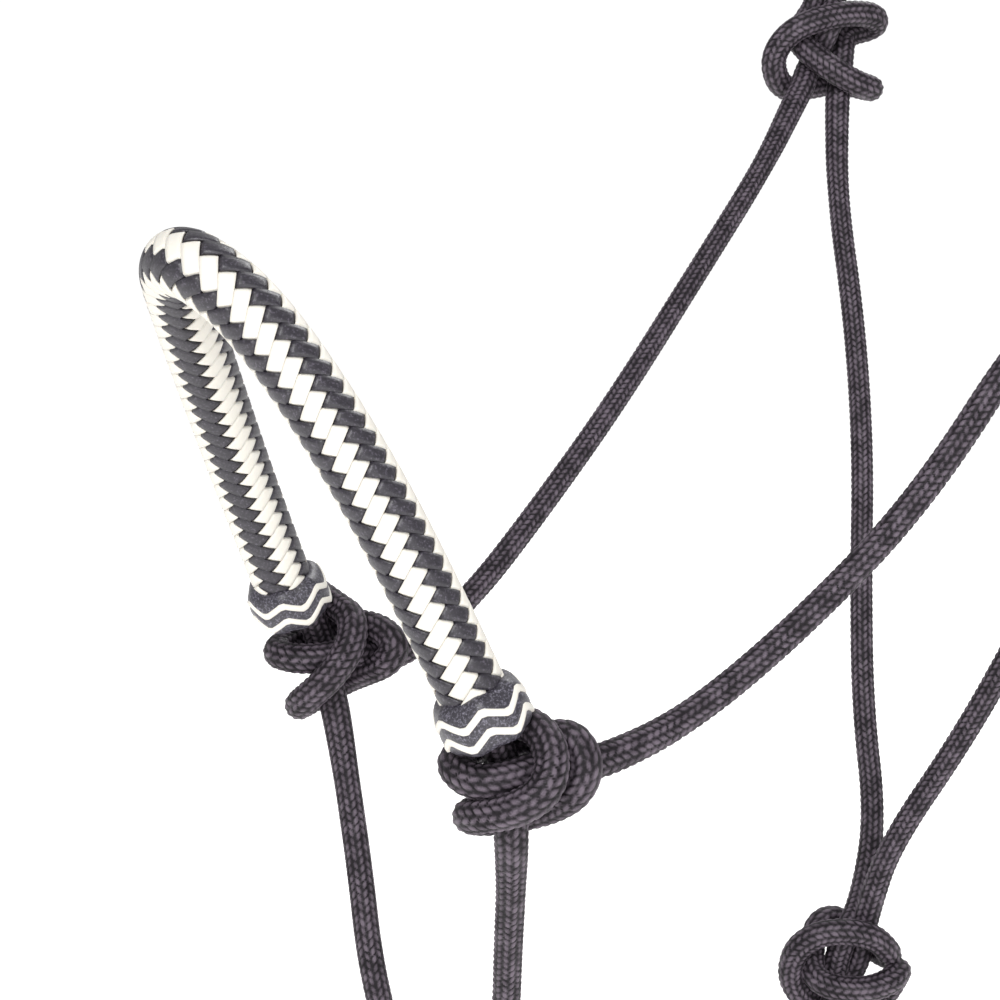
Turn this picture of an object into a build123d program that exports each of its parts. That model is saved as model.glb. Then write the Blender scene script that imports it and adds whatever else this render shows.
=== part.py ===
from build123d import *
import math
import os

# Rope halter for a full-size horse, in its worn shape.
# +Z is up, the horse faces -X and its near (left) side is -Y.
# The origin is midway between the two cheek knots, inside the head that holds the halter.

# ---- driving dimensions, mm ----
ROPE = 6.35            # braided sheath rope
KNOT_ROPE = 5.7        # the same rope where a knot squeezes it
CORE_ROPE = 6.2        # the two rope strands inside the noseband
SLEEVE_OUT = 14.6      # plaited leather sleeve, outside
SLEEVE_IN = 12.9       # plaited leather sleeve, inside
WRAP_OUT = 20.4        # ring knot that finishes each end of the sleeve
WRAP_LENGTH = 13.0
WRAP_EDGE = 2.2        # rounding of its rims
WRAP_ROOM = 0.1        # between the sleeve and the ring knot round it
LACE_FROM_MIDDLE = WRAP_LENGTH * 0.22    # from the ring knot's middle to each round of lace
SKIN_GAP = 0.05        # keeps lace and whipping just clear of what they lie on
LACE = 1.6             # white lacing laid over each ring knot
TIP = 7.2              # sealed sleeve on each crown tail
TIP_LENGTH = 10.0
ARC_SHARE = 0.45       # part of the shorter run that a corner's arc uses

HALF_CROWN_PAIR = ROPE / 2 + 0.25    # the two crown strands lie side by side
HALF_CORE_PAIR = CORE_ROPE / 2 + 0.05

# ---- where the knots are ----
NEAR_CHEEK = Vector(-0.5, -88.5, 0)
FAR_CHEEK = Vector(0.5, 88.5, 0)
NEAR_NOSE = Vector(-201.8, -45.4, -162.5)
FAR_NOSE = Vector(-199, 44.5, -159.5)
THROAT = Vector(-60.5, 0, -259)
FIADOR = Vector(-190, 0, -294)

# Every knot lies flat to one outward direction, turned from the side towards the nose and up a little.
FACE_TURN = 32.4
FACE_TILT = 11.2

# ---- knots, in rope diameters along the face: across, up, out ----
NEAR_NOSE_WINDING = [
    (-1.1, 2.5, -0.6), (-0.3, 1.9, -0.4), (0.7, 1.6, 0.3), (1.1, 0.7, 1.0), (0.8, -0.3, 1.5),
    (-0.2, -0.9, 1.4), (-1.2, -1.15, 0.9), (-1.85, -1.3, 0.0), (-1.2, -1.6, -1.0),
    (0.0, -1.5, -1.2), (1.1, -1.1, -0.6), (1.9, -0.5, 0.1), (2.25, 0.4, 0.1), (1.8, 1.3, -0.3),
    (0.7, 1.15, -1.0), (-0.5, 0.95, -1.4), (-1.7, 0.8, -1.1), (-2.35, 0.4, -0.1),
    (-1.6, -0.1, 0.8), (-0.5, 0.0, 0.8), (0.6, 0.3, 0.2), (1.5, 0.3, -0.9), (2.6, 0.2, -1.1),
]
NEAR_NOSE_THROUGH = [
    (-1.4, 2.3, 0.6), (-0.9, 1.2, -0.2), (-0.5, 0.2, -0.4),
    (-0.4, -0.8, 0.1), (-0.3, -1.9, 0.0),
]
FAR_NOSE_WINDING = [
    (-0.9, 2.7, -0.6), (0.0, 2.1, -0.3), (0.7, 1.7, 0.4), (0.7, 0.7, 1.1), (0.1, -0.3, 1.4),
    (-0.6, -1.0, 1.3), (-1.3, -1.6, 0.8), (-1.6, -1.9, -0.1), (-0.8, -1.5, -1.1), (0.3, -0.9, -1.3),
    (1.2, -0.5, -0.55), (2.1, -0.1, 0.15), (2.4, 0.6, 0.15), (1.8, 1.2, -0.3), (0.7, 1.4, -1.0),
    (-0.5, 1.2, -1.4), (-1.7, 0.8, -1.1), (-2.6, 0.3, -0.1), (-1.7, 0.1, 0.8), (-0.6, 0.1, 0.75),
    (0.5, 0.3, 0.1), (1.4, 0.2, -0.95), (2.5, 0.0, -1.15),
]
FAR_NOSE_THROUGH = [
    (-1.3, 2.5, 0.6), (-0.9, 1.4, -0.2), (-0.6, 0.3, -0.4),
    (-0.4, -0.8, 0.0), (-0.1, -1.9, -0.2),
]
CHEEK_WINDING = [
    (-0.2, 2.3, -0.5), (-0.6, 1.7, -1.0), (-1.2, 0.8, -0.6), (-0.85, -0.2, 0.4), (0.2, -1.15, 0.8),
    (1.5, -1.9, 0.7), (2.6, -2.1, 0.1), (2.4, -1.8, -0.9), (1.1, -1.3, -1.5), (-0.3, -1.6, -1.5),
    (-1.6, -1.9, -0.9), (-2.3, -1.5, -0.1), (-2.55, -0.5, 0.5), (-1.8, 0.55, 1.0),
    (-0.4, 1.15, 1.2), (1.2, 1.5, 1.0), (2.6, 1.55, 0.4), (2.9, 1.2, -0.6), (1.35, 1.0, -1.15),
    (1.15, -0.2, -0.7), (1.0, -1.5, -0.5), (0.8, -2.5, -0.2),
]
CHEEK_THROUGH = [
    (0.7, 2.3, -0.3), (0.55, 1.5, 0.1), (0.2, 0.8, 0.4), (-0.15, -0.2, -0.65), (-0.7, -1.1, -0.5),
    (-1.0, -2.0, 0.2), (-1.4, -2.7, 0.4),
]
THROAT_WINDING = [
    (0.9, 2.0, 0.2), (0.8, 0.9, -0.25), (0.6, -0.3, -0.4), (0.1, -1.4, -0.9), (-1.05, -2.2, -1.05),
    (-2.1, -1.9, -0.4), (-2.6, -0.8, 0.0), (-2.4, 0.4, 0.5), (-1.5, 1.2, 0.9), (-0.2, 1.4, 1.15),
    (1.1, 1.1, 1.0), (1.95, 0.1, 0.4), (1.8, -0.2, -0.8), (1.1, 0.3, -1.45), (-0.2, 1.5, -1.4),
    (-1.2, 1.2, -0.9), (-1.5, 0.1, -0.5), (-1.6, -0.9, 0.5), (-0.6, -1.2, 1.2), (0.7, -1.2, 1.3),
    (1.9, -0.85, 1.0), (2.45, -0.5, 0.0), (2.05, -1.7, -0.6), (1.0, -2.5, 0.0),
    (-0.4, -3.05, 0.55),
]
THROAT_THROUGH = [
    (0.85, 2.2, -0.75), (-0.1, 1.0, 0.25), (-0.4, -0.1, -0.1),
    (-0.6, -1.3, -0.1), (-0.5, -2.3, -0.15),
]
FIADOR_WINDING = THROAT_WINDING[1:-1]    # no rope leaves it downwards
FIADOR_THROUGH = [(0.2, 2.2, -0.6)] + THROAT_THROUGH[1:]

# ---- stretches between the knots, mm ----
NEAR_CHEEK_ROUTE = [
    (-183.5, -48.5, -162.8), (-159.8, -49.5, -156.5), (-131.8, -54.5, -137.6),
    (-102.9, -61.7, -110.7), (-74.4, -67, -71.3), (-40, -78, -41), (-9, -89.5, -17.5),
]
FAR_CHEEK_ROUTE = [
    (-181.5, 42, -160.5), (-158, 47, -150.5), (-130, 55, -130), (-97, 64, -103), (-61, 73, -68),
    (-30, 80, -37), (-8.5, 87, -17.5),
]
NEAR_THROAT_ROUTE = [
    (2.5, -91, -20), (-3, -75.5, -48), (-11, -58.5, -86), (-18.8, -43, -122.6),
    (-26.5, -29, -159.3), (-34.6, -16.5, -193), (-51.2, -5.9, -225.5), (-58.3, -1.5, -242.7),
]
FAR_THROAT_ROUTE = [
    (3.5, 84.5, -19), (-3.8, 74.7, -46), (-10.5, 57.8, -84.3), (-19.9, 42.4, -121.8),
    (-31.5, 29.4, -158.4), (-41.3, 16.8, -192.4), (-45.5, 5.6, -222.7), (-49.1, 4.5, -245.2),
]
NEAR_CHIN_ROUTE = [
    (-204.5, -45, -177), (-199.7, -38.4, -191), (-195, -29.7, -211), (-191.1, -22.8, -231),
    (-190, -15, -254), (-190, -8, -274),
]
FAR_CHIN_ROUTE = [
    (-200.3, 43.2, -174.5), (-200.7, 37, -189), (-202.4, 27.4, -210.5), (-204.4, 19.2, -231),
    (-201.2, 14.2, -254), (-192.9, 9.2, -274),
]
NEAR_JAW_ROUTE = [
    (-67.5, -5.4, -280), (-75, -7.5, -288), (-90, -9.5, -296), (-114, -10, -302), (-141, -8, -303),
    (-166, -4.8, -299),
]
FAR_JAW_ROUTE = [
    (-65.5, 2.2, -278), (-73, 5, -287), (-89, 8.5, -295), (-114, 9.5, -301), (-141, 8, -303),
    (-166, 4.8, -299),
]
LEAD_LOOP_ROUTE = [
    (-190, -3.6, -316), (-190, -5.5, -328), (-190, -11, -345), (-190, -12.5, -363), (-190, -6, -376),
    (-190, 6, -376), (-190, 12.5, -363), (-190, 11, -345), (-190, 5.5, -328), (-190, 3.6, -316),
]
BAND_ROUTE = [
    (-210.1, -43.6, -147.4), (-222.7, -37.1, -115), (-234.5, -27, -87), (-246, -16.5, -65),
    (-254, -7, -55.5), (-254.5, 7, -55), (-248.5, 17, -64.5), (-235.9, 31.3, -86.8),
    (-221.3, 43.6, -116.6), (-210.7, 47.5, -141.6),
]
BAND_FLAT = Vector(0.894, 0, 0.447)      # square to the plane of the noseband's arch

# The crown runs from the far cheek knot over the poll and down to the loop on the near side.
# Each point is the middle of the pair, then the way from there to the front strand.
FORE = (-1, 0, 0)
CROWN_ROUTE = [
    ((5, 92.5, 19.5), (-0.7, 0.7, 0)), ((7, 96, 56), FORE), ((13, 99, 104), FORE), ((25, 88, 156), FORE),
    ((35, 56, 193), FORE), ((40, 14, 209), FORE), ((39, -33, 202), FORE), ((31, -72, 174), FORE),
    ((21, -89, 138), FORE), ((10, -86, 112), FORE),
]
# A sheet bend: up through the loop's eye, round behind both of its legs and back under itself.
TIE_ROUTE = [
    ((5, -85, 96), FORE), ((2.5, -96, 81), FORE), ((5, -108, 73), (-0.9, 0, -0.4)),
    ((15, -111, 62), (-0.7, 0, -0.7)), ((27, -104.5, 51), (-0.4, 0, -0.9)), ((29.5, -91, 46.5), (0, 0, -1)),
    ((18, -83.5, 46), (0, 0, -1)), ((3, -82, 46), (0, 0, -1)), ((-12, -83.5, 47), (0, 0, -1)),
    ((-21, -92, 51), (0, 0, -1)), ((-14, -100.5, 57), (0.3, 0, -0.95)), ((-1, -102, 63), (0.3, 0, -0.95)),
    ((12, -101.5, 69), (0.2, 0, -1)), ((25, -102.5, 73), (-0.1, 0, -1)), ((37, -106, 68), (-0.7, 0, -0.7)),
    ((43, -109, 52), (-1, 0, -0.2)),
]
TAIL_ROUTE = [
    ((43.5, -110, 28), FORE), ((41, -109.5, 0), FORE), ((37, -108, -31), FORE), ((35, -105, -62), FORE),
    ((36, -103, -90), FORE), ((35.5, -102, -118), FORE),
]
TAIL_SHORTER = 10        # the rear tail is cut this much shorter
TAIL_GAP = 3.5           # room between the tie and the tails, which swing at it
CROWN_LOOP_ROUTE = [
    (1, -82.8, 19.5), (-2, -88, 38), (-8.5, -94, 60), (-9.5, -96, 82), (-2, -97, 98), (9, -97, 99),
    (16, -96, 83), (13.5, -94, 60), (8.5, -91, 38), (6.8, -87.4, 19.5),
]


def face_axes():
    """Across, up and out directions shared by the knots."""
    turn = math.radians(FACE_TURN)
    tilt = math.radians(FACE_TILT)
    across = Vector(math.cos(turn), -math.sin(turn), 0)
    out = Vector(-math.sin(turn) * math.cos(tilt), -math.cos(turn) * math.cos(tilt), math.sin(tilt))
    return across, out.cross(across), out


def knot_points(centre, turns):
    """Points of a knot's strand, from rope diameters along the face to millimetres."""
    across, up, out = face_axes()
    return [centre + (across * a + up * b + out * c) * ROPE for a, b, c in turns]


def corner_radii(points):
    """One arc radius for each corner, as large as the shorter of its two runs allows."""
    radii = []
    for before, corner, after in zip(points, points[1:], points[2:]):
        run_in = corner - before
        run_out = after - corner
        half_turn = math.radians(run_in.get_angle(run_out)) / 2
        radii.append(ARC_SHARE * min(run_in.length, run_out.length) / math.tan(half_turn))
    return radii


def rope_path(points):
    points = [Vector(p) for p in points]
    return FilletPolyline(*points, radius=corner_radii(points))


def tube(name, points, diameter=ROPE):
    """A round cord along the points; prints its tightest arc and how its volume compares."""
    points = [Vector(p) for p in points]
    path = rope_path(points)
    section = Plane(origin=path @ 0, z_dir=path % 0) * Circle(diameter / 2)
    solid = sweep(section, path=path)
    full = path.length * math.pi * diameter ** 2 / 4
    print(f"{name}: length {path.length:.0f} mm, tightest arc {min(corner_radii(points)):.1f} mm, "
          f"volume share {solid.volume / full:.4f}")
    return solid


def shortened(points, start=0.0, end=0.0):
    """The same route with its first and last runs cut back."""
    points = [Vector(p) for p in points]
    first = (points[1] - points[0]).normalized()
    last = (points[-2] - points[-1]).normalized()
    points[0] = points[0] + first * start
    points[-1] = points[-1] + last * end
    return points


def middle(a, b):
    return (Vector(a) + Vector(b)) / 2


def strand(route, side):
    """One of the crown's two strands: side 1 is the front one, -1 the rear one."""
    return [Vector(p) + Vector(o).normalized() * HALF_CROWN_PAIR * side for p, o in route]


def hollow_sweep(points, outside, inside):
    path = rope_path(points)
    start = Plane(origin=path @ 0, z_dir=path % 0)
    return sweep(start * (Circle(outside / 2) - Circle(inside / 2)), path=path)


def end_wrap(place, along):
    """The ring knot over the sleeve's end: a barrel with rounded rims."""
    ring = extrude(Plane(origin=place, z_dir=along) * Circle(WRAP_OUT / 2), WRAP_LENGTH / 2, both=True)
    ring = fillet(ring.edges().filter_by(GeomType.CIRCLE), WRAP_EDGE)
    hole = Circle(SLEEVE_OUT / 2 + WRAP_ROOM)
    bore = extrude(Plane(origin=place, z_dir=along) * hole, WRAP_LENGTH, both=True)
    return ring - bore


def wrap_lacing(place, along):
    """Two rounds of white lace that lie on the ring knot."""
    rounds = []
    for height in (-LACE_FROM_MIDDLE, LACE_FROM_MIDDLE):
        centre = place + along * height
        rounds.append(Plane(origin=centre, z_dir=along) * Torus(WRAP_OUT / 2 + LACE / 2 + SKIN_GAP, LACE / 2))
    return Compound(rounds)


def save(name, shape):
    export_step(shape, f"parts/{name}.step")


def make_knots():
    for name, centre, winding, through in (
        ("near_nose_knot", NEAR_NOSE, NEAR_NOSE_WINDING, NEAR_NOSE_THROUGH),
        ("far_nose_knot", FAR_NOSE, FAR_NOSE_WINDING, FAR_NOSE_THROUGH),
        ("near_cheek_knot", NEAR_CHEEK, CHEEK_WINDING, CHEEK_THROUGH),
        ("far_cheek_knot", FAR_CHEEK, CHEEK_WINDING, CHEEK_THROUGH),
        ("throat_knot", THROAT, THROAT_WINDING, THROAT_THROUGH),
        ("fiador_knot", FIADOR, FIADOR_WINDING, FIADOR_THROUGH),
    ):
        strands = [tube(name, knot_points(centre, turns), KNOT_ROPE) for turns in (winding, through)]
        save(name, Compound(strands))


def make_ropes():
    for name, route in (
        ("near_cheek_rope", NEAR_CHEEK_ROUTE),
        ("far_cheek_rope", FAR_CHEEK_ROUTE),
        ("near_throat_rope", NEAR_THROAT_ROUTE),
        ("far_throat_rope", FAR_THROAT_ROUTE),
        ("near_chin_rope", NEAR_CHIN_ROUTE),
        ("far_chin_rope", FAR_CHIN_ROUTE),
        ("near_jaw_rope", NEAR_JAW_ROUTE),
        ("far_jaw_rope", FAR_JAW_ROUTE),
        ("lead_loop", LEAD_LOOP_ROUTE),
    ):
        save(name, tube(name, route))


def make_crown():
    for side, word in ((1, "front"), (-1, "rear")):
        over_poll = strand(CROWN_ROUTE, side)
        tie = strand(TIE_ROUTE, side)
        tail = strand(TAIL_ROUTE, side)
        into_tie = middle(over_poll[-1], tie[0])
        save(f"crown_strand_{word}", tube(f"crown_strand_{word}", over_poll + [into_tie]))
        out_of_tie = middle(tie[-1], tail[0])
        save(f"crown_tie_{word}", tube(f"crown_tie_{word}", [into_tie] + tie + [out_of_tie]))
        cut = TAIL_SHORTER if side == -1 else 0
        tail_path = shortened([out_of_tie] + tail, start=TAIL_GAP, end=cut)
        save(f"crown_tail_{word}", tube(f"crown_tail_{word}", tail_path))
        end = tail_path[-1]
        along = (tail_path[-2] - end).normalized()
        tip = extrude(Plane(origin=end, z_dir=along) * Circle(TIP / 2), TIP_LENGTH)
        tip -= extrude(Plane(origin=end, z_dir=along) * Circle(ROPE / 2 + SKIN_GAP), TIP_LENGTH)
        save(f"tail_tip_{word}", tip)
    save("crown_loop", tube("crown_loop", CROWN_LOOP_ROUTE))


def make_noseband():
    band = [Vector(p) for p in BAND_ROUTE]
    save("noseband_plait", hollow_sweep(band, SLEEVE_OUT, SLEEVE_IN))
    for side, word in ((-1, "front"), (1, "rear")):
        shift = BAND_FLAT * HALF_CORE_PAIR * side
        core = [p + shift for p in band]
        save(f"noseband_core_{word}", tube(f"noseband_core_{word}", core, CORE_ROPE))
    for word, place, following in (("near", band[0], band[1]), ("far", band[-1], band[-2])):
        along = (following - place).normalized()
        save(f"{word}_end_wrap", end_wrap(place, along))
        save(f"{word}_wrap_lacing", wrap_lacing(place, along))


os.makedirs("parts", exist_ok=True)
make_knots()
make_ropes()
make_crown()
make_noseband()
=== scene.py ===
"""Rope halter in its worn shape: braided rope, hard knots and a plaited leather noseband."""
import math

import bpy
import numpy as np
from mathutils import Matrix, Vector


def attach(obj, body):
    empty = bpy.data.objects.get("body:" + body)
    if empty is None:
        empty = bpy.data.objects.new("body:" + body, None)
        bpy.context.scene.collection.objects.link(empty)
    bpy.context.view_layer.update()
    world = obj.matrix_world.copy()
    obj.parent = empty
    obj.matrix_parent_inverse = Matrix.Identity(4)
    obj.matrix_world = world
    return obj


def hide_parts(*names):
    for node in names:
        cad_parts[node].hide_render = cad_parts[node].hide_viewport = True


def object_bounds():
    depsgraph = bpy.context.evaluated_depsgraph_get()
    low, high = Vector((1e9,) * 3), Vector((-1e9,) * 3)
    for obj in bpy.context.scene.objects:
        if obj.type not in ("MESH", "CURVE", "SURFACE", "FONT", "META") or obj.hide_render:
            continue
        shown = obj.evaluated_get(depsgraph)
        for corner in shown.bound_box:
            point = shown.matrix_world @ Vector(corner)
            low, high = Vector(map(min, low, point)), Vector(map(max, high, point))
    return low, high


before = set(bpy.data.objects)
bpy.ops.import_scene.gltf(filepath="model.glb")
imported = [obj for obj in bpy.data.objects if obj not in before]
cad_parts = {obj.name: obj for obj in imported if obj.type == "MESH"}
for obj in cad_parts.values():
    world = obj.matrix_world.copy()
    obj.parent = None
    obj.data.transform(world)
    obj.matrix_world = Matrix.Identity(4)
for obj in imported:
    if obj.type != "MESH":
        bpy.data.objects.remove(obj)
cad_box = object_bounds()

MM = 0.001

# ---- rope ----
ROPE = 6.35               # diameter of the sheath, mm
# how much wider the rope lies where each kind of knot presses it flat
NOSE_SPREAD = 1.16
CHEEK_SPREAD = 1.2
THROAT_SPREAD = 1.12
ROPE_COLUMNS = 12         # rows of stitches around the sheath
ROPE_STITCH = 2.0         # from one stitch to the next along a row, mm
STITCH_HEIGHT = 0.52      # how far a stitch stands above the gap beside it, mm
ROPE_AROUND = 48          # vertices around the rope
ROPE_STEP = 0.34          # distance between rings, mm
EASE = 9.0                # length over which the rope goes from free to squeezed, mm

# ---- noseband ----
BAND_OUT = 14.9           # over the plait, mm
STRAND_WIDTH = 3.24       # each leather strand, mm
STRAND_THICK = 0.8
STRAND_RISE = 0.41        # how far a strand climbs above the middle layer and dips below it, mm
STRANDS_EACH_WAY = 8
PLAIT_LAY = 31.8          # length in which a strand goes once around, mm
PLAIT_TURN = -18.25       # degrees that the plait is turned about the band at its near end
PLAIT_TWIST = 36.0        # degrees that it turns further over the nose, towards the far end
TWIST_FROM = 0.36         # where that turn starts, as a share of the noseband's length
TWIST_OVER = 0.26         # the share of the length that it takes

# ---- end ring knots ----
RING_RADIUS = 9.2         # of the leather under the lace, mm
RING_BIGHTS = 6

# ---- directions shared by the knots ----
FACE_TURN = 32.4
FACE_TILT = 11.2

# ---- knots, in rope diameters along the face: across, up, out ----
NEAR_NOSE_WINDING = [
    (-1.1, 2.5, -0.6), (-0.3, 1.9, -0.4), (0.7, 1.6, 0.3), (1.1, 0.7, 1.0), (0.8, -0.3, 1.5),
    (-0.2, -0.9, 1.4), (-1.2, -1.15, 0.9), (-1.85, -1.3, 0.0), (-1.2, -1.6, -1.0),
    (0.0, -1.5, -1.2), (1.1, -1.1, -0.6), (1.9, -0.5, 0.1), (2.25, 0.4, 0.1), (1.8, 1.3, -0.3),
    (0.7, 1.15, -1.0), (-0.5, 0.95, -1.4), (-1.7, 0.8, -1.1), (-2.35, 0.4, -0.1),
    (-1.6, -0.1, 0.8), (-0.5, 0.0, 0.8), (0.6, 0.3, 0.2), (1.5, 0.3, -0.9), (2.6, 0.2, -1.1),
]
NEAR_NOSE_THROUGH = [
    (-1.4, 2.3, 0.6), (-0.9, 1.2, -0.2), (-0.5, 0.2, -0.4),
    (-0.4, -0.8, 0.1), (-0.3, -1.9, 0.0),
]
FAR_NOSE_WINDING = [
    (-0.9, 2.7, -0.6), (0.0, 2.1, -0.3), (0.7, 1.7, 0.4), (0.7, 0.7, 1.1), (0.1, -0.3, 1.4),
    (-0.6, -1.0, 1.3), (-1.3, -1.6, 0.8), (-1.6, -1.9, -0.1), (-0.8, -1.5, -1.1), (0.3, -0.9, -1.3),
    (1.2, -0.5, -0.55), (2.1, -0.1, 0.15), (2.4, 0.6, 0.15), (1.8, 1.2, -0.3), (0.7, 1.4, -1.0),
    (-0.5, 1.2, -1.4), (-1.7, 0.8, -1.1), (-2.6, 0.3, -0.1), (-1.7, 0.1, 0.8), (-0.6, 0.1, 0.75),
    (0.5, 0.3, 0.1), (1.4, 0.2, -0.95), (2.5, 0.0, -1.15),
]
FAR_NOSE_THROUGH = [
    (-1.3, 2.5, 0.6), (-0.9, 1.4, -0.2), (-0.6, 0.3, -0.4),
    (-0.4, -0.8, 0.0), (-0.1, -1.9, -0.2),
]
CHEEK_WINDING = [
    (-0.2, 2.3, -0.5), (-0.6, 1.7, -1.0), (-1.2, 0.8, -0.6), (-0.85, -0.2, 0.4), (0.2, -1.15, 0.8),
    (1.5, -1.9, 0.7), (2.6, -2.1, 0.1), (2.4, -1.8, -0.9), (1.1, -1.3, -1.5), (-0.3, -1.6, -1.5),
    (-1.6, -1.9, -0.9), (-2.3, -1.5, -0.1), (-2.55, -0.5, 0.5), (-1.8, 0.55, 1.0),
    (-0.4, 1.15, 1.2), (1.2, 1.5, 1.0), (2.6, 1.55, 0.4), (2.9, 1.2, -0.6), (1.35, 1.0, -1.15),
    (1.15, -0.2, -0.7), (1.0, -1.5, -0.5), (0.8, -2.5, -0.2),
]
CHEEK_THROUGH = [
    (0.7, 2.3, -0.3), (0.55, 1.5, 0.1), (0.2, 0.8, 0.4), (-0.15, -0.2, -0.65), (-0.7, -1.1, -0.5),
    (-1.0, -2.0, 0.2), (-1.4, -2.7, 0.4),
]
THROAT_WINDING = [
    (0.9, 2.0, 0.2), (0.8, 0.9, -0.25), (0.6, -0.3, -0.4), (0.1, -1.4, -0.9), (-1.05, -2.2, -1.05),
    (-2.1, -1.9, -0.4), (-2.6, -0.8, 0.0), (-2.4, 0.4, 0.5), (-1.5, 1.2, 0.9), (-0.2, 1.4, 1.15),
    (1.1, 1.1, 1.0), (1.95, 0.1, 0.4), (1.8, -0.2, -0.8), (1.1, 0.3, -1.45), (-0.2, 1.5, -1.4),
    (-1.2, 1.2, -0.9), (-1.5, 0.1, -0.5), (-1.6, -0.9, 0.5), (-0.6, -1.2, 1.2), (0.7, -1.2, 1.3),
    (1.9, -0.85, 1.0), (2.45, -0.5, 0.0), (2.05, -1.7, -0.6), (1.0, -2.5, 0.0),
    (-0.4, -3.05, 0.55),
]
THROAT_THROUGH = [
    (0.85, 2.2, -0.75), (-0.1, 1.0, 0.25), (-0.4, -0.1, -0.1),
    (-0.6, -1.3, -0.1), (-0.5, -2.3, -0.15),
]
FIADOR_WINDING = THROAT_WINDING[1:-1]
FIADOR_THROUGH = [(0.2, 2.2, -0.6)] + THROAT_THROUGH[1:]

KNOT_CENTRES = {
    "near_cheek_knot": (-0.5, -88.5, 0), "far_cheek_knot": (0.5, 88.5, 0),
    "near_nose_knot": (-201.8, -45.4, -162.5), "far_nose_knot": (-199, 44.5, -159.5),
    "throat_knot": (-60.5, 0, -259), "fiador_knot": (-190, 0, -294),
}

# ---- stretches between the knots, mm ----
NEAR_CHEEK_ROUTE = [
    (-183.5, -48.5, -162.8), (-159.8, -49.5, -156.5), (-131.8, -54.5, -137.6),
    (-102.9, -61.7, -110.7), (-74.4, -67, -71.3), (-40, -78, -41), (-9, -89.5, -17.5),
]
FAR_CHEEK_ROUTE = [
    (-181.5, 42, -160.5), (-158, 47, -150.5), (-130, 55, -130), (-97, 64, -103), (-61, 73, -68),
    (-30, 80, -37), (-8.5, 87, -17.5),
]
NEAR_THROAT_ROUTE = [
    (2.5, -91, -20), (-3, -75.5, -48), (-11, -58.5, -86), (-18.8, -43, -122.6),
    (-26.5, -29, -159.3), (-34.6, -16.5, -193), (-51.2, -5.9, -225.5), (-58.3, -1.5, -242.7),
]
FAR_THROAT_ROUTE = [
    (3.5, 84.5, -19), (-3.8, 74.7, -46), (-10.5, 57.8, -84.3), (-19.9, 42.4, -121.8),
    (-31.5, 29.4, -158.4), (-41.3, 16.8, -192.4), (-45.5, 5.6, -222.7), (-49.1, 4.5, -245.2),
]
NEAR_CHIN_ROUTE = [
    (-204.5, -45, -177), (-199.7, -38.4, -191), (-195, -29.7, -211), (-191.1, -22.8, -231),
    (-190, -15, -254), (-190, -8, -274),
]
FAR_CHIN_ROUTE = [
    (-200.3, 43.2, -174.5), (-200.7, 37, -189), (-202.4, 27.4, -210.5), (-204.4, 19.2, -231),
    (-201.2, 14.2, -254), (-192.9, 9.2, -274),
]
NEAR_JAW_ROUTE = [
    (-67.5, -5.4, -280), (-75, -7.5, -288), (-90, -9.5, -296), (-114, -10, -302), (-141, -8, -303),
    (-166, -4.8, -299), (-182, -2.6, -295),
]
FAR_JAW_ROUTE = [
    (-65.5, 2.2, -278), (-73, 5, -287), (-89, 8.5, -295), (-114, 9.5, -301), (-141, 8, -303),
    (-166, 4.8, -299), (-182, 2.6, -295),
]
LEAD_LOOP_ROUTE = [
    (-190, -3.6, -316), (-190, -5.5, -328), (-190, -11, -345), (-190, -12.5, -363), (-190, -6, -376),
    (-190, 6, -376), (-190, 12.5, -363), (-190, 11, -345), (-190, 5.5, -328), (-190, 3.6, -316),
]
BAND_ROUTE = [
    (-210.1, -43.6, -147.4), (-222.7, -37.1, -115), (-234.5, -27, -87), (-246, -16.5, -65),
    (-254, -7, -55.5), (-254.5, 7, -55), (-248.5, 17, -64.5), (-235.9, 31.3, -86.8),
    (-221.3, 43.6, -116.6), (-210.7, 47.5, -141.6),
]

# Each point is the middle of the crown's pair of strands, then the way from there to the front one.
CROWN_HALF_PAIR = ROPE / 2 + 0.25
FORE = (-1, 0, 0)
CROWN_ROUTE = [
    ((5, 92.5, 19.5), (-0.7, 0.7, 0)), ((7, 96, 56), FORE), ((13, 99, 104), FORE), ((25, 88, 156), FORE),
    ((35, 56, 193), FORE), ((40, 14, 209), FORE), ((39, -33, 202), FORE), ((31, -72, 174), FORE),
    ((21, -89, 138), FORE), ((10, -86, 112), FORE),
]
TIE_ROUTE = [
    ((5, -85, 96), FORE), ((2.5, -96, 81), FORE), ((5, -108, 73), (-0.9, 0, -0.4)),
    ((15, -111, 62), (-0.7, 0, -0.7)), ((27, -104.5, 51), (-0.4, 0, -0.9)), ((29.5, -91, 46.5), (0, 0, -1)),
    ((18, -83.5, 46), (0, 0, -1)), ((3, -82, 46), (0, 0, -1)), ((-12, -83.5, 47), (0, 0, -1)),
    ((-21, -92, 51), (0, 0, -1)), ((-14, -100.5, 57), (0.3, 0, -0.95)), ((-1, -102, 63), (0.3, 0, -0.95)),
    ((12, -101.5, 69), (0.2, 0, -1)), ((25, -102.5, 73), (-0.1, 0, -1)), ((37, -106, 68), (-0.7, 0, -0.7)),
    ((43, -109, 52), (-1, 0, -0.2)),
]
TAIL_ROUTE = [
    ((43.5, -110, 28), FORE), ((41, -109.5, 0), FORE), ((37, -108, -31), FORE), ((35, -105, -62), FORE),
    ((36, -103, -90), FORE), ((35.5, -102, -118), FORE),
]
TAIL_SHORTER = 10
CROWN_LOOP_ROUTE = [
    (1, -82.8, 19.5), (-2, -88, 38), (-8.5, -94, 60), (-9.5, -96, 82), (-2, -97, 98), (9, -97, 99),
    (16, -96, 83), (13.5, -94, 60), (8.5, -91, 38), (6.8, -87.4, 19.5),
]

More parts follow.
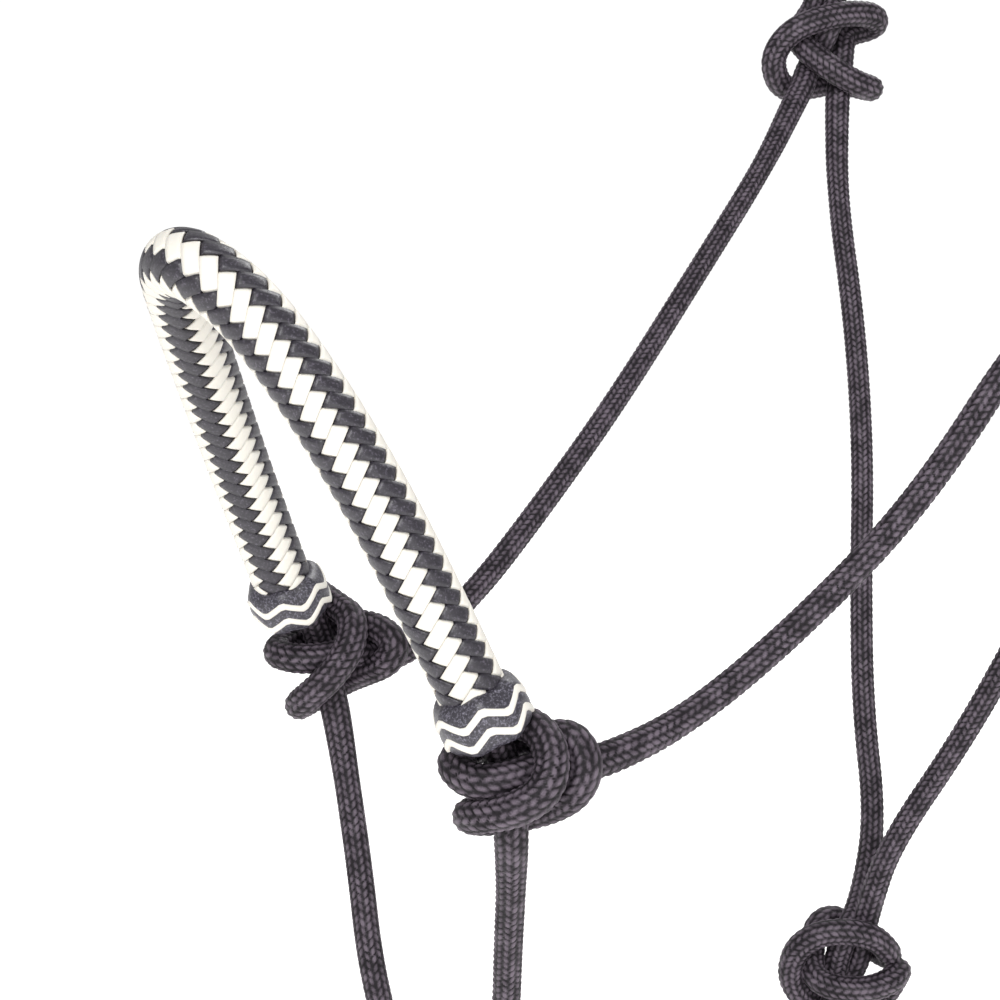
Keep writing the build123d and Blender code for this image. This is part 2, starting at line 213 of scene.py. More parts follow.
# ---- camera, in the halter's frame ----
CAMERA_PLACE = (-0.3916, -0.33644, -0.03442)
CAMERA_TURN = 32.43       # degrees from straight across towards the nose
CAMERA_DROP = 11.155      # degrees looking down
CAMERA_ROLL = -0.18
CAMERA_LENS = 62.23       # mm, on a 36 mm sensor


# ---------------------------------------------------------------- helpers
def linear(hex_colour):
    """An sRGB hex colour as linear red, green, blue and alpha."""
    channels = [int(hex_colour[i:i + 2], 16) / 255 for i in (0, 2, 4)]
    return [c / 12.92 if c <= 0.04045 else ((c + 0.055) / 1.055) ** 2.4 for c in channels] + [1.0]


def unit(vectors):
    return vectors / np.linalg.norm(vectors, axis=-1, keepdims=True)


def face_axes(turn=FACE_TURN, tilt=FACE_TILT):
    """Across, up and out directions of a side seen from a turn and a tilt in degrees."""
    turn = math.radians(turn)
    tilt = math.radians(tilt)
    across = np.array((math.cos(turn), -math.sin(turn), 0.0))
    out = np.array((-math.sin(turn) * math.cos(tilt), -math.cos(turn) * math.cos(tilt), math.sin(tilt)))
    return across, np.cross(out, across), out


def knot_points(name, turns):
    across, up, out = face_axes()
    centre = np.array(KNOT_CENTRES[name], float)
    return [centre + (across * a + up * b + out * c) * ROPE for a, b, c in turns]


def crown_strand(route, side):
    points = []
    for middle, way in route:
        way = np.array(way, float)
        points.append(np.array(middle, float) + way / np.linalg.norm(way) * CROWN_HALF_PAIR * side)
    return points


def nurbs_line(name, points, steps=24):
    """Points along the smooth NURBS line of a route, in metres."""
    data = bpy.data.curves.new(name, "CURVE")
    data.dimensions = "3D"
    data.resolution_u = steps
    spline = data.splines.new("NURBS")
    spline.points.add(len(points) - 1)
    for point, place in zip(spline.points, points):
        point.co = (*(float(c) * MM for c in place), 1.0)
    spline.order_u = 3
    spline.use_endpoint_u = True
    holder = bpy.data.objects.new(name, data)
    mesh = bpy.data.meshes.new_from_object(holder)
    line = np.array([v.co[:] for v in mesh.vertices])
    bpy.data.meshes.remove(mesh)
    bpy.data.objects.remove(holder)
    bpy.data.curves.remove(data)
    keep = np.r_[True, np.linalg.norm(np.diff(line, axis=0), axis=1) > 1e-7]
    return line[keep]


def arc_lengths(line):
    return np.r_[0.0, np.cumsum(np.linalg.norm(np.diff(line, axis=0), axis=1))]


def even_line(line, step):
    """The same line with a point every step, and the length at each."""
    lengths = arc_lengths(line)
    count = max(int(round(lengths[-1] / step)), 4)
    places = np.linspace(0, lengths[-1], count + 1)
    return np.stack([np.interp(places, lengths, line[:, i]) for i in range(3)], axis=1), places


def rolling_frames(line, start_normal):
    """Tangents, normals and binormals that follow the line without twisting."""
    tangents = unit(np.gradient(line, axis=0))
    for _ in range(2):
        tangents[1:-1] = unit(tangents[:-2] + 2 * tangents[1:-1] + tangents[2:])
    normals = np.empty_like(line)
    normal = np.array(start_normal, float)
    for i, tangent in enumerate(tangents):
        normal = normal - tangent * normal.dot(tangent)
        normal /= np.linalg.norm(normal)
        normals[i] = normal
    return tangents, normals, np.cross(tangents, normals)


def make_piece(name, vertices, faces, material, body, replaces=(), attributes=None):
    """A mesh object that rides on a body and stands for CAD nodes."""
    mesh = bpy.data.meshes.new(name)
    mesh.from_pydata(np.asarray(vertices).tolist(), [], faces)
    mesh.shade_smooth()
    for key, values in (attributes or {}).items():
        layer = mesh.attributes.new(key, "FLOAT", "POINT")
        layer.data.foreach_set("value", np.asarray(values, dtype=np.float32))
    piece = bpy.data.objects.new(name, mesh)
    bpy.context.scene.collection.objects.link(piece)
    mesh.materials.append(material)
    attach(piece, body)
    if replaces:
        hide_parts(*replaces)
    return piece


def tube_faces(rings, around, first=0):
    """Quads between the rings of a tube."""
    faces = []
    for ring in range(rings - 1):
        low = first + ring * around
        for i in range(around):
            j = (i + 1) % around
            faces.append((low + i, low + j, low + around + j, low + around + i))
    return faces


# ---------------------------------------------------------------- camera
def make_camera():
    data = bpy.data.cameras.new("camera")
    data.lens = CAMERA_LENS
    data.sensor_width = 36
    camera = bpy.data.objects.new("camera", data)
    bpy.context.scene.collection.objects.link(camera)
    turn = Matrix(face_axes(CAMERA_TURN, CAMERA_DROP)).transposed()
    roll = Matrix.Rotation(math.radians(CAMERA_ROLL), 3, "Z")
    camera.matrix_world = Matrix.Translation(CAMERA_PLACE) @ (turn @ roll).to_4x4()
    bpy.context.scene.camera = camera


# ---------------------------------------------------------------- materials
def add(tree, kind, settings=None, links=None):
    """A node with its settings, and its inputs set to values or linked from other nodes' outputs."""
    node = tree.nodes.new(kind)
    for key, value in (settings or {}).items():
        setattr(node, key, value)
    for key, value in (links or {}).items():
        if isinstance(value, bpy.types.NodeSocket):
            tree.links.new(value, node.inputs[key])
        else:
            node.inputs[key].default_value = value
    return node


def start_material(name, roughness, ior=1.5, **sockets):
    material = bpy.data.materials.new(name)
    material.use_nodes = True
    tree = material.node_tree
    shader = tree.nodes["Principled BSDF"]
    shader.inputs["Roughness"].default_value = roughness
    shader.inputs["IOR"].default_value = ior
    for key, value in sockets.items():
        shader.inputs[key.replace("_", " ")].default_value = value
    return material, tree, shader


def colour_steps(tree, factor, steps):
    """A colour ramp from hex colours at places from 0 to 1."""
    ramp = add(tree, "ShaderNodeValToRGB", links={"Fac": factor})
    while len(ramp.color_ramp.elements) < len(steps):
        ramp.color_ramp.elements.new(0.5)
    for element, (place, hex_colour) in zip(ramp.color_ramp.elements, steps):
        element.position = place
        element.color = linear(hex_colour)
    return ramp.outputs["Color"]


def braided_polyester(name, gap_shade, stitch, crown, sheen):
    """Solution-dyed polyester sheath of near-black filament bundles, with painted shade in the gaps between
    stitches and a silvery painted highlight on their crowns.
    """
    material, tree, shader = start_material(name, 0.5, 1.54, Sheen_Weight=sheen, Sheen_Roughness=0.5)
    # filaments lie side by side and shade one another, so less light glances off than off a smooth face
    shader.inputs["Specular IOR Level"].default_value = 0.2
    height = add(tree, "ShaderNodeAttribute", {"attribute_name": "height"}).outputs["Fac"]
    place = add(tree, "ShaderNodeTexCoord").outputs["Object"]
    # filaments are 0.03 mm; drawn at 0.25 mm so that they show
    fibre = add(tree, "ShaderNodeTexNoise", links={"Vector": place, "Scale": 4000.0, "Detail": 3.0,
                                                   "Roughness": 0.7}).outputs["Fac"]
    # wear rubs some stitches shiny, in patches of a few millimetres; the same patches are painted lighter as
    # painted glints
    wear = add(tree, "ShaderNodeTexNoise",
               links={"Vector": place, "Scale": 280.0, "Detail": 2.0}).outputs["Fac"]
    # fibre and wear together make the glints: lower roughness, and painted glints in the base colour
    glint = add(tree, "ShaderNodeMath", {"operation": "MULTIPLY_ADD"}, {0: fibre, 1: 0.7, 2: wear})
    glint = add(tree, "ShaderNodeMapRange", {"interpolation_type": "SMOOTHSTEP"},
                {"Value": glint.outputs[0], "From Min": 0.6, "From Max": 1.15, "To Min": 0.55, "To Max": 1.0})
    # painted shade and highlight: the base colour runs from near-black in the gaps to light on the stitch
    # crowns, lightest where the painted glints fall
    level = add(tree, "ShaderNodeMath", {"operation": "MULTIPLY"}, {0: glint.outputs[0], 1: height})
    tree.links.new(colour_steps(tree, level.outputs[0], [(0.05, gap_shade), (0.34, stitch), (0.8, crown)]),
                   shader.inputs["Base Color"])
    rough = add(tree, "ShaderNodeMapRange", links={"Value": glint.outputs[0], "From Min": 0.55,
                                                   "To Min": 0.65, "To Max": 0.42})
    tree.links.new(rough.outputs[0], shader.inputs["Roughness"])
    bump = add(tree, "ShaderNodeBump", links={"Height": fibre, "Strength": 0.5, "Distance": 0.00012})
    tree.links.new(bump.outputs[0], shader.inputs["Normal"])
    return material


def waxed_leather(name, deep, face, scuff, roughness, scuffing):
    """Drum-dyed latigo strips, waxed: dark, softly glossy, greyed where the grain is rubbed."""
    material, tree, shader = start_material(name, roughness, 1.5, Coat_Weight=0.25, Coat_Roughness=0.35)
    shader.inputs["Specular IOR Level"].default_value = 0.5
    place = add(tree, "ShaderNodeTexCoord").outputs["Object"]
    # pores 0.3 mm apart, rubbed patches 0.6 mm wide
    grain = add(tree, "ShaderNodeTexVoronoi", {"feature": "DISTANCE_TO_EDGE"},
                {"Vector": place, "Scale": 3000.0})
    rub = add(tree, "ShaderNodeTexNoise", links={"Vector": place, "Scale": 1800.0, "Detail": 6.0,
                                                 "Roughness": 0.7})
    crown = add(tree, "ShaderNodeAttribute", {"attribute_name": "height"}).outputs["Fac"]
    wear = add(tree, "ShaderNodeMath", {"operation": "MULTIPLY_ADD"},
               {0: crown, 1: scuffing, 2: rub.outputs["Fac"]})
    level = add(tree, "ShaderNodeMapRange", links={"Value": wear.outputs[0], "From Min": 0.35,
                                                   "From Max": 0.75 + scuffing})
    tree.links.new(colour_steps(tree, level.outputs[0], [(0.0, deep), (0.6, face), (1.0, scuff)]),
                   shader.inputs["Base Color"])
    rough = add(tree, "ShaderNodeMapRange", links={"Value": rub.outputs["Fac"], "To Min": roughness - 0.12,
                                                   "To Max": roughness + 0.15})
    tree.links.new(rough.outputs[0], shader.inputs["Roughness"])
    bump = add(tree, "ShaderNodeBump", links={"Height": grain.outputs["Distance"], "Strength": 0.3,
                                              "Distance": 0.00006})
    bump = add(tree, "ShaderNodeBump", links={"Height": rub.outputs["Fac"], "Strength": 0.3,
                                              "Distance": 0.0003, "Normal": bump.outputs[0]})
    tree.links.new(bump.outputs[0], shader.inputs["Normal"])
    return material


def natural_lace(name):
    """Undyed kangaroo lace: warm off-white with a satin face and a slightly darker cut edge."""
    material, tree, shader = start_material(name, 0.5, 1.5, Coat_Weight=0.08, Coat_Roughness=0.4)
    shader.inputs["Subsurface Weight"].default_value = 0.05
    shader.inputs["Subsurface Radius"].default_value = (0.0012, 0.0008, 0.0005)
    shader.inputs["Subsurface Scale"].default_value = 0.5
    place = add(tree, "ShaderNodeTexCoord").outputs["Object"]
    crown = add(tree, "ShaderNodeAttribute", {"attribute_name": "height"}).outputs["Fac"]
    # fine creases about 0.4 mm apart, handling stains a few millimetres wide
    crease = add(tree, "ShaderNodeTexNoise", links={"Vector": place, "Scale": 2500.0, "Detail": 4.0})
    stain = add(tree, "ShaderNodeTexNoise", links={"Vector": place, "Scale": 250.0, "Detail": 3.0})
    level = add(tree, "ShaderNodeMath", {"operation": "MULTIPLY_ADD"},
                {0: stain.outputs["Fac"], 1: 0.3, 2: crown})
    tree.links.new(colour_steps(tree, level.outputs[0], [(0.0, "8a8172"), (0.35, "cfc8bb"), (0.8, "e3dfd6")]),
                   shader.inputs["Base Color"])
    bump = add(tree, "ShaderNodeBump", links={"Height": crease.outputs["Fac"], "Strength": 0.25,
                                              "Distance": 0.00005})
    tree.links.new(bump.outputs[0], shader.inputs["Normal"])
    return material


def waxed_thread(name):
    """Waxed black thread wound over the rope's cut end: fine rings with a dull wax shine."""
    material, tree, shader = start_material(name, 0.42, 1.5)
    place = add(tree, "ShaderNodeTexCoord").outputs["Object"]
    noise = add(tree, "ShaderNodeTexNoise", links={"Vector": place, "Scale": 2500.0, "Detail": 3.0})
    tree.links.new(colour_steps(tree, noise.outputs["Fac"], [(0.3, "121114"), (0.75, "38353b")]),
                   shader.inputs["Base Color"])
    bump = add(tree, "ShaderNodeBump", links={"Height": noise.outputs["Fac"], "Strength": 0.3,
                                              "Distance": 0.0001})
    tree.links.new(bump.outputs[0], shader.inputs["Normal"])
    return material


# ---------------------------------------------------------------- rope
def stitch_height(angle, along, columns, pitch):
    """A braid's rows of short stitches, leaning left and right in turn: 0 in the gaps and 1 on top."""
    row = angle / (2 * math.pi) * columns
    across = row - np.floor(row) - 0.5
    odd = np.floor(row) % 2
    lean = np.where(odd == 0, 0.6, -0.6)
    run = along / pitch + lean * across + odd * 0.5
    run = run - np.floor(run) - 0.5
    crown = np.sqrt(np.clip(1 - np.abs(2 * run) ** 2.5, 0, 1))
    return crown * (1 - np.abs(2 * across) ** 2.5 * 0.9)


class RopeRun:
    """One unbroken length of rope through knots and stretches, cut into pieces that share its line."""

    def __init__(self, name, sections):
        """Each section is its name, its points and its share of the rope's diameter."""
        points = []
        shares = []
        self.bounds = {}
        for section, section_points, share in sections:
            first = len(points)
            points += [np.array(p, float) for p in section_points]
            shares += [share] * len(section_points)
            self.bounds[section] = (first, len(points) - 1)
        self.points = points
        rough = nurbs_line(name, points)
        self.line, self.places = even_line(rough, ROPE_STEP * MM)
        self.length = self.places[-1]
        start = face_axes()[2]
        self.tangents, self.normals, self.binormals = rolling_frames(self.line, start)
        self.marks = [self.nearest(np.array(p) * MM, i) for i, p in enumerate(points)]
        share_here = np.interp(np.arange(len(self.line)), np.maximum.accumulate(self.marks), shares)
        reach = max(int(EASE / ROPE_STEP / 2), 1)
        kernel = np.ones(2 * reach + 1) / (2 * reach + 1)
        padded = np.pad(share_here, reach, mode="edge")
        self.radius = np.convolve(padded, kernel, mode="valid") * ROPE / 2 * MM

    def nearest(self, place, order):
        """The ring nearest to a control point, looked for about where its turn comes."""
        guess = order / (len(self.points) - 1) * len(self.line)
        distance = np.linalg.norm(self.line - place, axis=1)
        drift = np.abs(np.arange(len(self.line)) - guess) / len(self.line)
        return int(np.argmin(distance + drift * 0.02))

    def span(self, section):
        """First and last ring of a section; neighbours meet halfway between their nearest points."""
        first, last = self.bounds[section]
        low = 0 if first == 0 else (self.marks[first - 1] + self.marks[first]) // 2
        if last == len(self.points) - 1:
            return low, len(self.line) - 1
        return low, (self.marks[last] + self.marks[last + 1]) // 2

    def tube(self, low, high, round_ends):
        """Vertices, faces and stitch heights of the rope from one ring to another, with closed ends."""
        around = ROPE_AROUND
        angle = np.linspace(0, 2 * math.pi, around, endpoint=False)
        rows = np.arange(low, high + 1)
        along = self.places[rows][:, None] / MM
        height = stitch_height(angle[None, :] + math.pi / around, along, ROPE_COLUMNS, ROPE_STITCH)
        radius = self.radius[rows][:, None] + (height - 0.62) * STITCH_HEIGHT * MM
        side = (np.cos(angle)[None, :, None] * self.normals[rows][:, None]
                + np.sin(angle)[None, :, None] * self.binormals[rows][:, None])
        vertices = (self.line[rows][:, None] + side * radius[..., None]).reshape(-1, 3)
        heights = height.reshape(-1)
        faces = tube_faces(len(rows), around)
        for ring, outward, wanted in ((low, -1, round_ends[0]), (high, 1, round_ends[1])):
            tip = self.line[ring] + self.tangents[ring] * outward * (self.radius[ring] * 0.8 if wanted else 0)
            base = 0 if ring == low else (len(rows) - 1) * around
            rim = list(range(base, base + around))
            levels = (0.35, 0.65, 0.88) if wanted else ()
            for level in levels:
                swell = math.sqrt(1 - level ** 2) * 0.93
                centre = self.line[ring] + self.tangents[ring] * outward * self.radius[ring] * 0.8 * level
                flat_side = side[0 if ring == low else -1]
                first = len(vertices)
                vertices = np.vstack([vertices, centre + flat_side * self.radius[ring] * swell])
                heights = np.r_[heights, np.full(around, 0.5)]
                upper = list(range(first, first + around))
                for i in range(around):
                    j = (i + 1) % around
                    quad = (rim[i], rim[j], upper[j], upper[i])
                    faces.append(quad if outward == 1 else quad[::-1])
                rim = upper
            vertices = np.vstack([vertices, tip])
            heights = np.r_[heights, 0.5]
            end = len(vertices) - 1
            for i in range(around):
                j = (i + 1) % around
                faces.append((rim[i], rim[j], end) if outward == 1 else (rim[j], rim[i], end))
        return vertices, faces, heights


def join_tubes(tubes):
    vertices = np.vstack([t[0] for t in tubes])
    heights = np.concatenate([t[2] for t in tubes])
    faces = []
    first = 0
    for points, quads, _ in tubes:
        faces += [tuple(i + first for i in quad) for quad in quads]
        first += len(points)
    return vertices, faces, heights


def make_ropes(rope):
    """Every stretch and knot, from a few unbroken runs of rope."""
    free = 1.0
    near_loop = CROWN_LOOP_ROUTE[::-1][1:-1]
    front = crown_strand(CROWN_ROUTE, 1), crown_strand(TIE_ROUTE, 1), crown_strand(TAIL_ROUTE, 1)
    rear = crown_strand(CROWN_ROUTE, -1), crown_strand(TIE_ROUTE, -1), crown_strand(TAIL_ROUTE, -1)
    rear[2][-1] = rear[2][-1] + unit(rear[2][-2] - rear[2][-1]) * TAIL_SHORTER
    runs = {
        "near": RopeRun("near", [
            ("near_nose_knot", knot_points("near_nose_knot", NEAR_NOSE_WINDING), NOSE_SPREAD),
            ("near_cheek_rope", NEAR_CHEEK_ROUTE[1:-1], free),
            ("near_cheek_knot", knot_points("near_cheek_knot", CHEEK_THROUGH)[::-1], CHEEK_SPREAD),
            ("crown_loop", near_loop, free),
            ("near_cheek_knot_winding", knot_points("near_cheek_knot", CHEEK_WINDING), CHEEK_SPREAD),
            ("near_throat_rope", NEAR_THROAT_ROUTE[1:-1], free),
            ("throat_knot", knot_points("throat_knot", THROAT_WINDING), THROAT_SPREAD),
            ("near_jaw_rope", NEAR_JAW_ROUTE[1:], free)]),
        "far": RopeRun("far", [
            ("far_nose_knot", knot_points("far_nose_knot", FAR_NOSE_WINDING), NOSE_SPREAD),
            ("far_cheek_rope", FAR_CHEEK_ROUTE[1:-1], free),
            ("far_cheek_knot", knot_points("far_cheek_knot", CHEEK_THROUGH)[::-1], CHEEK_SPREAD),
            ("crown_strand_rear", rear[0], free),
            ("crown_tie_rear", rear[1], free),
            ("crown_tail_rear", rear[2], free)]),
        "throat": RopeRun("throat", [
            ("crown_tail_front", front[2][::-1], free),
            ("crown_tie_front", front[1][::-1], free),
            ("crown_strand_front", front[0][::-1], free),
            ("far_cheek_knot", knot_points("far_cheek_knot", CHEEK_WINDING), CHEEK_SPREAD),
            ("far_throat_rope", FAR_THROAT_ROUTE[1:-1], free),
            ("throat_knot", knot_points("throat_knot", THROAT_THROUGH), THROAT_SPREAD),
            ("far_jaw_rope", FAR_JAW_ROUTE[1:], free)]),
        "near_chin": RopeRun("near_chin", [
            ("near_nose_knot", knot_points("near_nose_knot", NEAR_NOSE_THROUGH), NOSE_SPREAD),
            ("near_chin_rope", NEAR_CHIN_ROUTE[1:], free),
            ("fiador_knot", knot_points("fiador_knot", FIADOR_WINDING), THROAT_SPREAD)]),
        "far_chin": RopeRun("far_chin", [
            ("far_nose_knot", knot_points("far_nose_knot", FAR_NOSE_THROUGH), NOSE_SPREAD),
            ("far_chin_rope", FAR_CHIN_ROUTE[1:], free),
            ("fiador_knot", knot_points("fiador_knot", FIADOR_THROUGH), THROAT_SPREAD),
            ("lead_loop", LEAD_LOOP_ROUTE[1:] + [(-190, 3, -303)], free)]),
    }
    stretches = {
        "cheeks": [("near_cheek_rope", "near"), ("far_cheek_rope", "far")],
        "throat": [("near_throat_rope", "near"), ("far_throat_rope", "throat")],
        "jaw": [("near_jaw_rope", "near"), ("far_jaw_rope", "throat")],
        "chin": [("near_chin_rope", "near_chin"), ("far_chin_rope", "far_chin")],
        "lead": [("lead_loop", "far_chin")],
        "crown": [("crown_loop", "near"), ("crown_strand_front", "throat"), ("crown_strand_rear", "far"),
                  ("crown_tie_front", "throat"), ("crown_tie_rear", "far")],
    }
    for body, members in stretches.items():
        for node, run_name in members:
            run = runs[run_name]
            vertices, faces, heights = run.tube(*run.span(node), (True, True))
            make_piece(f"braid_{node}", vertices, faces, rope, body, [node],
                       {"height": heights})
    knots = {
        "near_nose_knot": ("cheeks", [("near", "near_nose_knot"), ("near_chin", "near_nose_knot")]),
        "far_nose_knot": ("cheeks", [("far", "far_nose_knot"), ("far_chin", "far_nose_knot")]),
        "near_cheek_knot": ("cheeks", [("near", "near_cheek_knot"), ("near", "near_cheek_knot_winding")]),
        "far_cheek_knot": ("cheeks", [("far", "far_cheek_knot"), ("throat", "far_cheek_knot")]),
        "throat_knot": ("throat", [("near", "throat_knot"), ("throat", "throat_knot")]),
        "fiador_knot": ("chin", [("near_chin", "fiador_knot"), ("far_chin", "fiador_knot")]),
    }
    for node, (body, strands) in knots.items():
        tubes = [runs[run].tube(*runs[run].span(section), (False, False)) for run, section in strands]
        vertices, faces, heights = join_tubes(tubes)
        make_piece(f"braid_{node}", vertices, faces, rope, body, [node], {"height": heights})
    return runs


def make_tails(runs, rope, thread):
    """The two loose tails of the crown, each with its cut end wound with waxed thread."""
    for word, run, low_end in (("front", runs["throat"], True), ("rear", runs["far"], False)):
        node = f"crown_tail_{word}"
        low, high = run.span(node)
        vertices, faces, heights = run.tube(low, high, (False, True) if low_end else (True, False))
        tail = make_piece(f"braid_{node}", vertices, faces, rope, "tails", [node],
                          {"height": heights})
        line = run.line[low:high + 1]
        if low_end:
            line = line[::-1]
        winding = make_whipping(f"tail_tip_{word}", line, thread)


def make_whipping(node, line, thread):
    """A close winding of thread over the last centimetre of a tail."""
    length = 10.0 * MM
    turns = 14
    steps = 24
    around = 8
    lengths = arc_lengths(line)
    thick = 0.36 * MM
    tangent = unit(line[-1] - line[-8])
    normal = unit(np.cross(tangent, (0.0, 1.0, 0.0)))
    binormal = np.cross(tangent, normal)
    turn = np.linspace(0, 2 * math.pi * turns, turns * steps + 1)
    back = np.interp(lengths[-1] - length + length * turn / turn[-1], lengths, np.arange(len(line)))
    base = np.stack([np.interp(back, np.arange(len(line)), line[:, i]) for i in range(3)], axis=1)
    reach = ROPE / 2 * MM + thick * 0.7
    path = base + (np.cos(turn)[:, None] * normal + np.sin(turn)[:, None] * binormal) * reach
    _, normals, binormals = rolling_frames(path, tangent)
    angle = np.linspace(0, 2 * math.pi, around, endpoint=False)
    ring = (np.cos(angle)[None, :, None] * normals[:, None]
            + np.sin(angle)[None, :, None] * binormals[:, None])
    vertices = (path[:, None] + ring * thick).reshape(-1, 3)
    faces = tube_faces(len(path), around)
    faces.append(tuple(range(around))[::-1])
    faces.append(tuple(range(len(vertices) - around, len(vertices))))
    return make_piece(f"wound_{node}", vertices, faces, thread, "tails", [node])


# ---------------------------------------------------------------- noseband
def strip_section(width, thick):
    """A leather strip cut across, with flat faces and crisp edges, and how worn each corner is."""
    half = width / 2
    top = thick / 2
    return [(-half, 0.0, 0.3), (-half + 0.06, top * 0.9, 0.8), (-half * 0.4, top, 1.0),
            (half * 0.4, top, 1.0), (half - 0.06, top * 0.9, 0.8), (half, 0.0, 0.3),
            (half - 0.2, -top, 0.0), (-half + 0.2, -top, 0.0)]


def plait_strand(line, frames, number, pale):
    """One strand of the plait: it lies over two strands that lean the other way, then under two."""
    _, normals, binormals = frames
    length = arc_lengths(line)[-1] / MM
    lean = 1 if pale else -1
    middle = BAND_OUT / 2 - STRAND_THICK / 2 - STRAND_RISE
    slope = math.atan2(2 * math.pi * (middle + STRAND_RISE), PLAIT_LAY)
    s = np.linspace(0, length, int(length / PLAIT_LAY * 205))
    grid = np.arange(len(line))
    turn_per_mm = 2 * math.pi / PLAIT_LAY
    spacing = 2 * math.pi / STRANDS_EACH_WAY
    vertices = []
    wear = []
    for across, up, worn in strip_section(STRAND_WIDTH, STRAND_THICK):
        along = np.clip(s - lean * across * math.sin(slope), 0, length)
        turn = spacing * number + lean * turn_per_mm * s + across * math.cos(slope) / (middle + STRAND_RISE)
        crossing = (turn + lean * turn_per_mm * along) / spacing
        wave = np.sin((crossing + number + 0.5) * math.pi / 2) * lean
        level = np.clip(7 * wave - 0.8, -1, 1)
        index = along / length * (len(line) - 1)
        centre, normal, binormal = (np.stack([np.interp(index, grid, field[:, i]) for i in range(3)], axis=1)
                                    for field in (line, normals, binormals))
        over_nose = np.clip((along / length - TWIST_FROM) / TWIST_OVER, 0, 1)
        turn = turn + np.radians(PLAIT_TURN + PLAIT_TWIST * over_nose ** 2 * (3 - 2 * over_nose))
        side = np.cos(turn)[:, None] * normal + np.sin(turn)[:, None] * binormal
        vertices.append(centre + side * ((middle + level * STRAND_RISE + up) * MM)[:, None])
        wear.append(worn * (0.8 + 0.2 * level))
    around = len(vertices)
    vertices = np.stack(vertices, axis=1).reshape(-1, 3)
    faces = tube_faces(len(s), around)
    faces.append(tuple(range(around))[::-1])
    faces.append(tuple(range(len(vertices) - around, len(vertices))))
    return vertices, faces, np.stack(wear, axis=1).reshape(-1)


def band_frames(line):
    """Frames along the noseband with the first normal towards the near side's front."""
    return rolling_frames(line, face_axes()[2])


def make_plait(black, natural):
    line, _ = even_line(nurbs_line("band", BAND_ROUTE), 0.5 * MM)
    frames = band_frames(line)
    for pale, material, slot in ((True, natural, "natural_lace"), (False, black, "black_leather")):
        strands = [plait_strand(line, frames, number, pale) for number in range(STRANDS_EACH_WAY)]
        vertices, faces, heights = join_tubes(strands)
        make_piece(f"plait_{slot}", vertices, faces, material, "cheeks", ["noseband_plait"],
                   {"height": heights})
    return line, frames


# ---------------------------------------------------------------- end ring knots
def ring_wave(angle):
    """Height of the ring knot's strands around the band, mm: a bight every sixth of a turn."""
    bight = np.mod(angle / (2 * math.pi) * RING_BIGHTS, 1.0)
    return np.interp(bight, (0.0, 0.12, 0.5, 0.62, 1.0), (1.2, 1.1, -1.1, -1.2, 1.2))


def ring_band(place, axes, low, high, radius_low, radius_high, thick, swell, waves):
    """A strip of the ring knot, closed on itself; each edge follows its own share of the wave."""
    along, normal, binormal = axes
    steps = 240
    angle = np.linspace(0, 2 * math.pi, steps, endpoint=False)
    wave = ring_wave(angle)
    section = []
    for t in (0.0, 0.06, 0.25, 0.5, 0.75, 0.94, 1.0):
        height = low + (high - low) * t
        radius = radius_low + (radius_high - radius_low) * t + thick / 2 + swell * math.sin(math.pi * t)
        radius -= thick * 0.45 if t in (0.0, 1.0) else 0
        section.append((height, radius, waves[0] + (waves[1] - waves[0]) * t, 0.9))
    inner = min(radius_low, radius_high) - thick
    section += [(high - 0.05, inner, waves[1], 0.2), (low + 0.05, inner, waves[0], 0.2)]
    rings = []
    heights = []
    side = np.cos(angle)[:, None] * normal + np.sin(angle)[:, None] * binormal
    for z, radius, share, worn in section:
        rings.append(place + ((z + wave * share) * MM)[:, None] * along + side * radius * MM)
        heights.append(np.full(steps, worn))
    around = len(section)
    vertices = np.stack(rings, axis=1).reshape(-1, 3)
    heights = np.stack(heights, axis=1).reshape(-1)
    faces = []
    for ring in range(steps):
        following = (ring + 1) % steps
        for i in range(around):
            j = (i + 1) % around
            faces.append((ring * around + i, ring * around + j,
                          following * around + j, following * around + i))
    return vertices, faces, heights


def make_ring_knot(word, place, axes, black, natural):
    """Black leather passes with two rounds of pale lace between them, over the plait's end."""
    leather = [
        ring_band(place, axes, 1.9, 5.8, RING_RADIUS + 0.2, RING_RADIUS - 1.9, 1.1, 0.6, (1.0, 0.25)),
        ring_band(place, axes, -2.2, 1.5, RING_RADIUS + 0.1, RING_RADIUS + 0.1, 1.0, 0.35, (1.0, 1.0)),
        ring_band(place, axes, -5.9, -2.6, RING_RADIUS - 1.6, RING_RADIUS, 1.0, 0.35, (0.25, 1.0)),
    ]
    lace = [
        ring_band(place, axes, 0.9, 2.8, RING_RADIUS + 0.35, RING_RADIUS + 0.35, 1.0, 0.25, (1.0, 1.0)),
        ring_band(place, axes, -3.4, -1.5, RING_RADIUS + 0.3, RING_RADIUS + 0.3, 1.0, 0.25, (1.0, 1.0)),
    ]
    for bands, name, material, slot, node in (
        (leather, f"leather_{word}_ring", black, "black_leather", f"{word}_end_wrap"),
        (lace, f"lace_{word}_ring", natural, "natural_lace", f"{word}_wrap_lacing"),
    ):
        vertices, faces, heights = join_tubes(bands)
        make_piece(name, vertices, faces, material, "cheeks", [node], {"height": heights})


def make_ring_knots(line, frames, black, natural):
    tangents, normals, binormals = frames
    for word, index, up in (("near", 0, 1), ("far", -1, -1)):
        axes = (tangents[index] * up, normals[index], binormals[index])
        make_ring_knot(word, line[index], axes, black, natural)


# ---------------------------------------------------------------- what CAD already shapes
def dress_cores(material):
    for word in ("front", "rear"):
        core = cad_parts[f"noseband_core_{word}"]
        core.data.materials.clear()
        core.data.materials.append(material)


